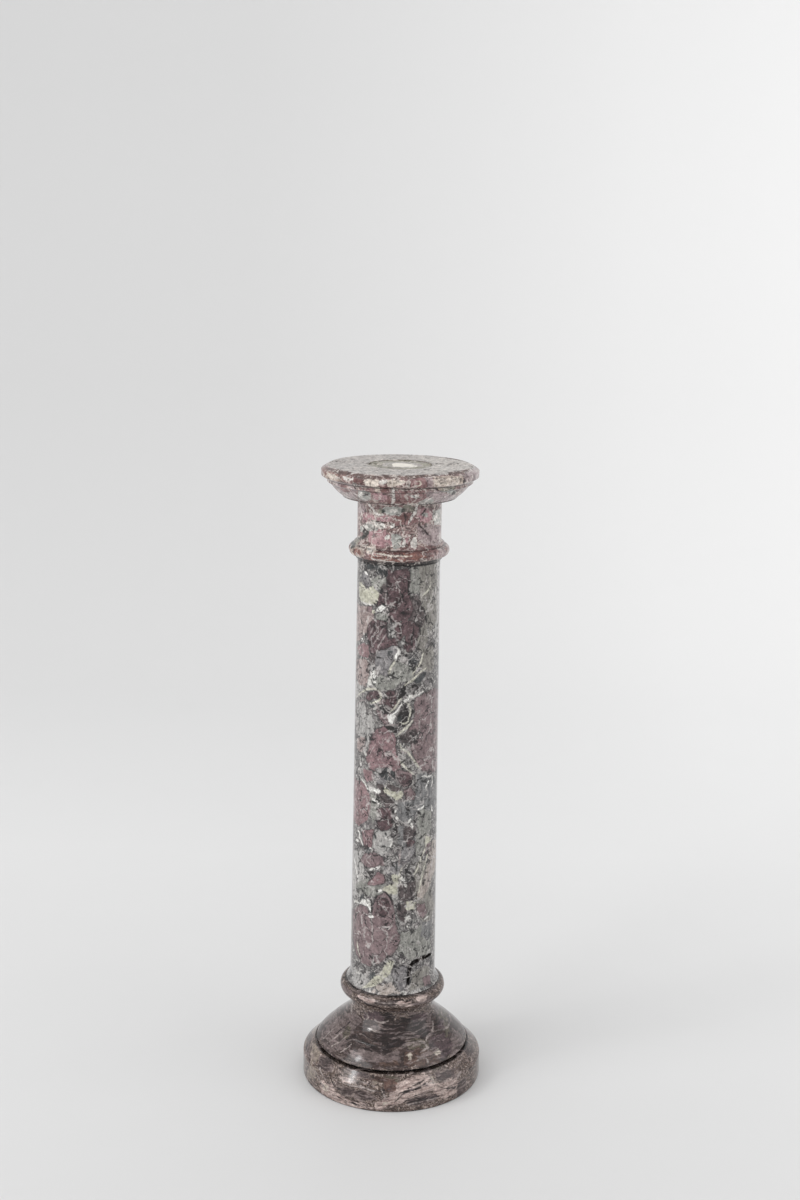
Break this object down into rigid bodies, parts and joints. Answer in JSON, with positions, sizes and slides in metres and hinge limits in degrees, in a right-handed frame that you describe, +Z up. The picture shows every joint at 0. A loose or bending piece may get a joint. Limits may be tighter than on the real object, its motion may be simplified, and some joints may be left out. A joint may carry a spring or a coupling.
{
  "type": "marble column",
  "caption": "Turned marble pedestal column: moulded round base, tapered shaft, and a capital with a bead ring, plain neck and moulded slab head with a plaster-filled hole.",
  "frame": {"origin": "middle of the round underside, on the floor the column stands on", "axes": "+Z up along the column's axis; -Y is the side shown in the picture, +X to its right"},
  "size_m": [0.3028, 0.3028, 1.05],
  "materials": {
    "dark_marble": "satin",
    "breccia_marble": "satin",
    "red_breccia_marble": "satin",
    "plaster": "matte"
  },
  "bodies": {
    "root": {"base": "dark_marble", "shaft": "breccia_marble", "capital": "red_breccia_marble", "plaster_fill": "plaster"}
  },
  "joints": []
}
